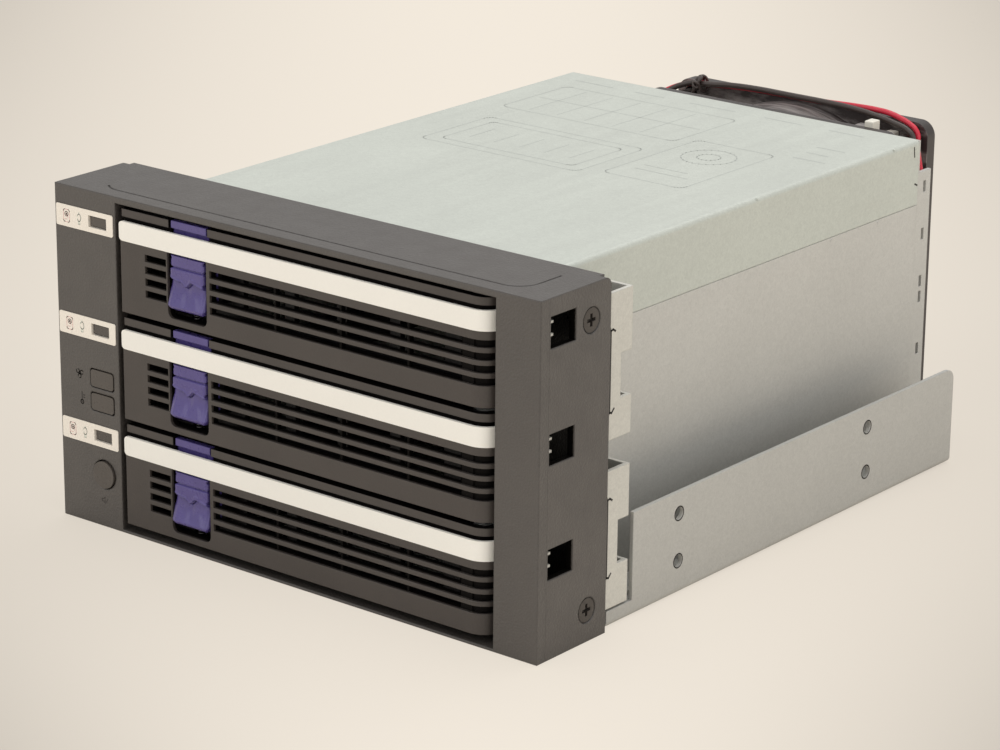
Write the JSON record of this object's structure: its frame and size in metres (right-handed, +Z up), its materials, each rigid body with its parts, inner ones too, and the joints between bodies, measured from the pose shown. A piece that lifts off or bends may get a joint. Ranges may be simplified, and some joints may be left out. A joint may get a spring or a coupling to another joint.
{
  "type": "hard drive backplane cage",
  "caption": "Hot-swap drive cage for two 5.25 inch bays: sliding trays with swing-out levers and slide latches, a backplane board and a rear fan.",
  "frame": {"origin": "centre of the box's base: midway across the front, midway from the face of the latches to the back of the fan, at the height of the underside", "axes": "+X to the right as seen from the front, +Y from the front to the back, +Z up"},
  "size_m": [0.1484, 0.197, 0.0848],
  "materials": {
    "bezel_black": "fine textured ABS",
    "lever_black": "satin moulded plastic",
    "tray_black": "matt moulded plastic",
    "bar_silver": "warm silver painted plastic",
    "latch_purple": "satin purple blue plastic",
    "plate_white": "satin off-white plastic",
    "lens_dark": "smoked plastic",
    "case_steel": "light grey green zinc plated sheet",
    "side_steel": "light grey zinc plated sheet",
    "bracket_steel": "light warm grey sheet",
    "screw_black": "black screws",
    "screw_zinc": "zinc plated",
    "pin_chrome": "polished",
    "spring_steel": "bright drawn wire",
    "guide_black": "self-lubricating plastic",
    "board_green": "glass fibre board with solder mask",
    "port_black": "moulded connector body",
    "port_white": "natural nylon",
    "fan_black": "satin black fan plastic",
    "lead_red": "PVC covered wire",
    "lead_black": "PVC covered wire",
    "tie_black": "black nylon"
  },
  "bodies": {
    "cage": {"front_bezel": "bezel_black", "side_bracket_right": "bracket_steel", "side_bracket_left": "bracket_steel", "bezel_screws": "screw_black", "status_plate_1": "plate_white", "status_plate_2": "plate_white", "status_plate_3": "plate_white", "light_pipe_1": "lens_dark", "light_pipe_2": "lens_dark", "light_pipe_3": "lens_dark", "fan_alarm_lens": "lens_dark", "heat_alarm_lens": "lens_dark", "indicator_board": "board_green", "indicator_board_screws": "screw_zinc", "base_plate": "side_steel", "side_wall_right": "side_steel", "side_wall_left": "side_steel", "top_cover": "case_steel", "wall_rivets": "screw_zinc", "guide_strips_right": "guide_black", "guide_strips_left": "guide_black", "backplane_board": "board_green", "drive_socket_1": "port_black", "drive_socket_2": "port_black", "drive_socket_3": "port_black", "data_port_1": "port_black", "data_port_2": "port_black", "data_port_3": "port_black", "power_ports": "port_white", "rear_panel": "side_steel", "fan_frame": "fan_black", "fan_screws": "screw_black", "fan_header": "port_white", "fan_plug": "port_white", "lead_red": "lead_red", "lead_black": "lead_black", "lead_tie": "tie_black", "lead_clip": "port_white"},
    "tray_1": {"tray_carrier_1": "tray_black", "hinge_pin_1": "pin_chrome"},
    "lever_1": {"tray_lever_1": "lever_black", "lever_bar_1": "bar_silver", "latch_spring_1": "spring_steel"},
    "latch_1": {"lever_latch_1": "latch_purple"},
    "tray_2": {"tray_carrier_2": "tray_black", "hinge_pin_2": "pin_chrome"},
    "lever_2": {"tray_lever_2": "lever_black", "lever_bar_2": "bar_silver", "latch_spring_2": "spring_steel"},
    "latch_2": {"lever_latch_2": "latch_purple"},
    "tray_3": {"tray_carrier_3": "tray_black", "hinge_pin_3": "pin_chrome"},
    "lever_3": {"tray_lever_3": "lever_black", "lever_bar_3": "bar_silver", "latch_spring_3": "spring_steel"},
    "latch_3": {"lever_latch_3": "latch_purple"},
    "mute_button": {"mute_button": "lens_dark"},
    "fan_rotor": {"fan_rotor": "fan_black"}
  },
  "joints": [
    {"name": "tray_slide_1", "type": "slide", "parent": "cage", "child": "tray_1", "axis": [0, -1, 0], "range_m": [0, 0.145]},
    {"name": "lever_swing_1", "type": "hinge", "parent": "tray_1", "child": "lever_1", "pos_m": [0.0549, -0.0921, 0.0694], "axis": [0, 0, 1], "range_deg": [0, 55]},
    {"name": "latch_slide_1", "type": "slide", "parent": "lever_1", "child": "latch_1", "axis": [0, 0, -1], "range_m": [0, 0.002], "stiffness_N_per_m": 300, "springref_m": -0.002, "deforming": ["latch_spring_1"]},
    {"name": "tray_slide_2", "type": "slide", "parent": "cage", "child": "tray_2", "axis": [0, -1, 0], "range_m": [0, 0.145]},
    {"name": "lever_swing_2", "type": "hinge", "parent": "tray_2", "child": "lever_2", "pos_m": [0.0549, -0.0921, 0.0424], "axis": [0, 0, 1], "range_deg": [0, 55]},
    {"name": "latch_slide_2", "type": "slide", "parent": "lever_2", "child": "latch_2", "axis": [0, 0, -1], "range_m": [0, 0.002], "stiffness_N_per_m": 300, "springref_m": -0.002, "deforming": ["latch_spring_2"]},
    {"name": "tray_slide_3", "type": "slide", "parent": "cage", "child": "tray_3", "axis": [0, -1, 0], "range_m": [0, 0.145]},
    {"name": "lever_swing_3", "type": "hinge", "parent": "tray_3", "child": "lever_3", "pos_m": [0.0549, -0.0921, 0.0154], "axis": [0, 0, 1], "range_deg": [0, 55]},
    {"name": "latch_slide_3", "type": "slide", "parent": "lever_3", "child": "latch_3", "axis": [0, 0, -1], "range_m": [0, 0.002], "stiffness_N_per_m": 300, "springref_m": -0.002, "deforming": ["latch_spring_3"]},
    {"name": "mute_press", "type": "slide", "parent": "cage", "child": "mute_button", "axis": [0, 1, 0], "range_m": [0, 0.0008], "stiffness_N_per_m": 500, "springref_m": -0.001},
    {"name": "fan_spin", "type": "hinge", "parent": "cage", "child": "fan_rotor", "pos_m": [0.01025, 0.0865, 0.0425], "axis": [0, 1, 0], "continuous": true}
  ]
}
